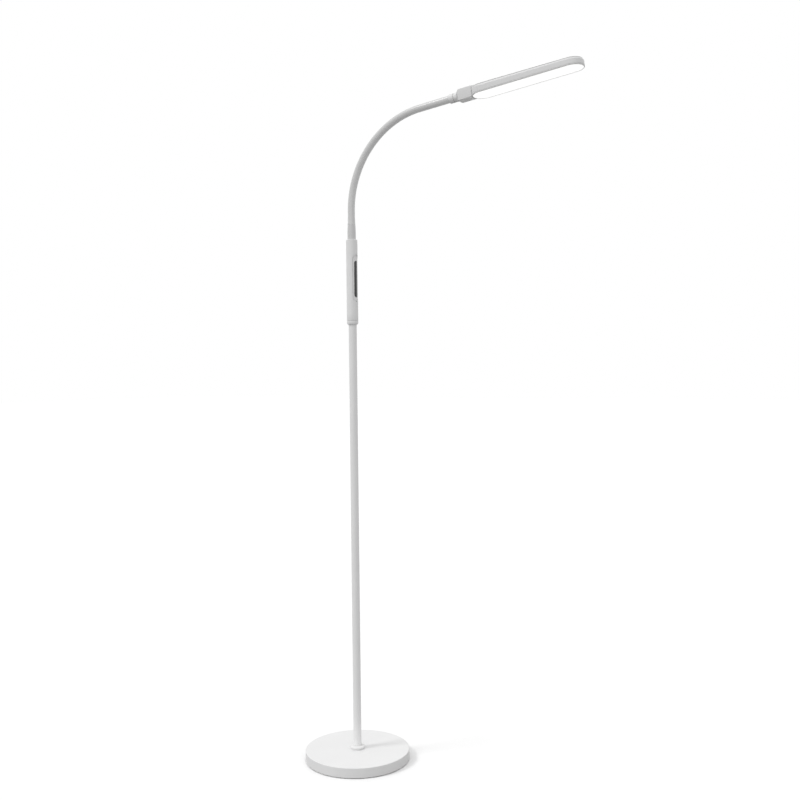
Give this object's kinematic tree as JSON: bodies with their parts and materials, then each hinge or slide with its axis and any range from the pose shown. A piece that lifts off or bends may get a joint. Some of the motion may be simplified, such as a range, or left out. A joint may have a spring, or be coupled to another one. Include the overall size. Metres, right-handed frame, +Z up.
{
  "type": "gooseneck floor lamp",
  "caption": "Floor lamp with a round weighted base, a slim straight pole, a touch control module, a bendable gooseneck and a flat LED head that swivels on its axis.",
  "frame": {"origin": "centre of the base's underside, on the floor", "axes": "+Z up, +X the way the head reaches out and the touch panel faces; the gooseneck bends in the XZ plane"},
  "size_m": [0.7155, 0.25, 1.5795],
  "materials": {
    "white_paint": "satin",
    "cover_plastic": "satin",
    "module_plastic": "satin",
    "head_plastic": "satin",
    "neck_rubber": "satin",
    "panel_black": "gloss",
    "opal": "satin",
    "steel": "brushed",
    "iron": "rough",
    "pad_rubber": "matte",
    "black_plastic": "matte",
    "lead_rubber": "matte",
    "board": "satin",
    "spring_brass": "polished",
    "led_aluminium": "white solder mask on aluminium",
    "led_phosphor": "gloss"
  },
  "bodies": {
    "stand": {"base_cover": "cover_plastic", "base_weight": "iron", "base_plate": "steel", "base_pad": "pad_rubber", "plate_screws": "steel", "dc_socket": "black_plastic", "socket_nut": "steel", "pole_flange": "steel", "flange_bolts": "steel", "base_collar": "cover_plastic", "pole_lower": "white_paint", "pole_middle": "white_paint", "pole_upper": "white_paint", "joiner_lower": "steel", "joiner_upper": "steel", "top_insert": "steel", "module_nut": "steel", "feed_lead": "lead_rubber", "module_foot": "module_plastic", "module_body": "module_plastic", "module_cap": "module_plastic", "control_board": "board", "board_parts": "black_plastic", "board_screws": "steel", "touch_springs": "spring_brass", "touch_panel": "panel_black", "neck_ferrule": "white_paint", "neck_anchor": "steel", "anchor_nut": "steel", "neck_lead": "lead_rubber"},
    "link_1": {"sleeve_1": "neck_rubber", "conduit_1": "steel"},
    "link_2": {"sleeve_2": "neck_rubber", "conduit_2": "steel"},
    "link_3": {"sleeve_3": "neck_rubber", "conduit_3": "steel"},
    "link_4": {"sleeve_4": "neck_rubber", "conduit_4": "steel"},
    "link_5": {"sleeve_5": "neck_rubber", "conduit_5": "steel"},
    "link_6": {"sleeve_6": "neck_rubber", "conduit_6": "steel"},
    "link_7": {"sleeve_7": "neck_rubber", "conduit_7": "steel"},
    "link_8": {"sleeve_8": "neck_rubber", "conduit_8": "steel", "end_ferrule": "white_paint", "swivel_spindle": "steel", "swivel_nut": "steel"},
    "head": {"friction_washer": "head_plastic", "swivel_collar": "white_paint", "head_top": "white_paint", "neck_cover": "head_plastic", "cover_screws": "steel", "head_frame": "head_plastic", "diffuser": "opal", "led_board": "led_aluminium", "led_chips": "led_phosphor", "led_screws": "steel"}
  },
  "joints": [
    {"name": "side_bend", "type": "hinge", "parent": "stand", "child": "link_1", "pos_m": [0, 0, 1.2855], "axis": [-1, 0, 0], "range_deg": [-25, 25]},
    {"name": "lower_bend", "type": "hinge", "parent": "link_1", "child": "link_2", "pos_m": [0, 0, 1.318], "axis": [0, 1, 0], "range_deg": [-14, 12], "deforming": ["neck_lead"]},
    {"name": "lower_bend_2", "type": "hinge", "parent": "link_2", "child": "link_3", "pos_m": [0.00636, 0, 1.36977], "axis": [0, 1, 0], "range_deg": [-14, 12]},
    {"name": "lower_bend_3", "type": "hinge", "parent": "link_3", "child": "link_4", "pos_m": [0.02505, 0, 1.41847], "axis": [0, 1, 0], "range_deg": [-14, 12]},
    {"name": "upper_bend", "type": "hinge", "parent": "link_4", "child": "link_5", "pos_m": [0.05497, 0, 1.46119], "axis": [0, 1, 0], "range_deg": [-14, 12]},
    {"name": "upper_bend_2", "type": "hinge", "parent": "link_5", "child": "link_6", "pos_m": [0.09433, 0, 1.49541], "axis": [0, 1, 0], "range_deg": [-14, 12]},
    {"name": "upper_bend_3", "type": "hinge", "parent": "link_6", "child": "link_7", "pos_m": [0.14081, 0, 1.51909], "axis": [0, 1, 0], "range_deg": [-14, 12]},
    {"name": "side_bend_2", "type": "hinge", "parent": "link_7", "child": "link_8", "pos_m": [0.19163, 0, 1.53083], "axis": [-0.1045, 0, 0.9945], "range_deg": [-25, 25]},
    {"name": "head_swivel", "type": "hinge", "parent": "link_8", "child": "head", "pos_m": [0.28412, 0, 1.54055], "axis": [0.9945, 0, 0.1045], "range_deg": [-90, 90]}
  ],
  "couplings": [
    {"joint": "lower_bend_2", "follows": "lower_bend", "ratio": 1},
    {"joint": "lower_bend_3", "follows": "lower_bend", "ratio": 1},
    {"joint": "upper_bend_2", "follows": "upper_bend", "ratio": 1},
    {"joint": "upper_bend_3", "follows": "upper_bend", "ratio": 1},
    {"joint": "side_bend_2", "follows": "side_bend", "ratio": 1}
  ]
}
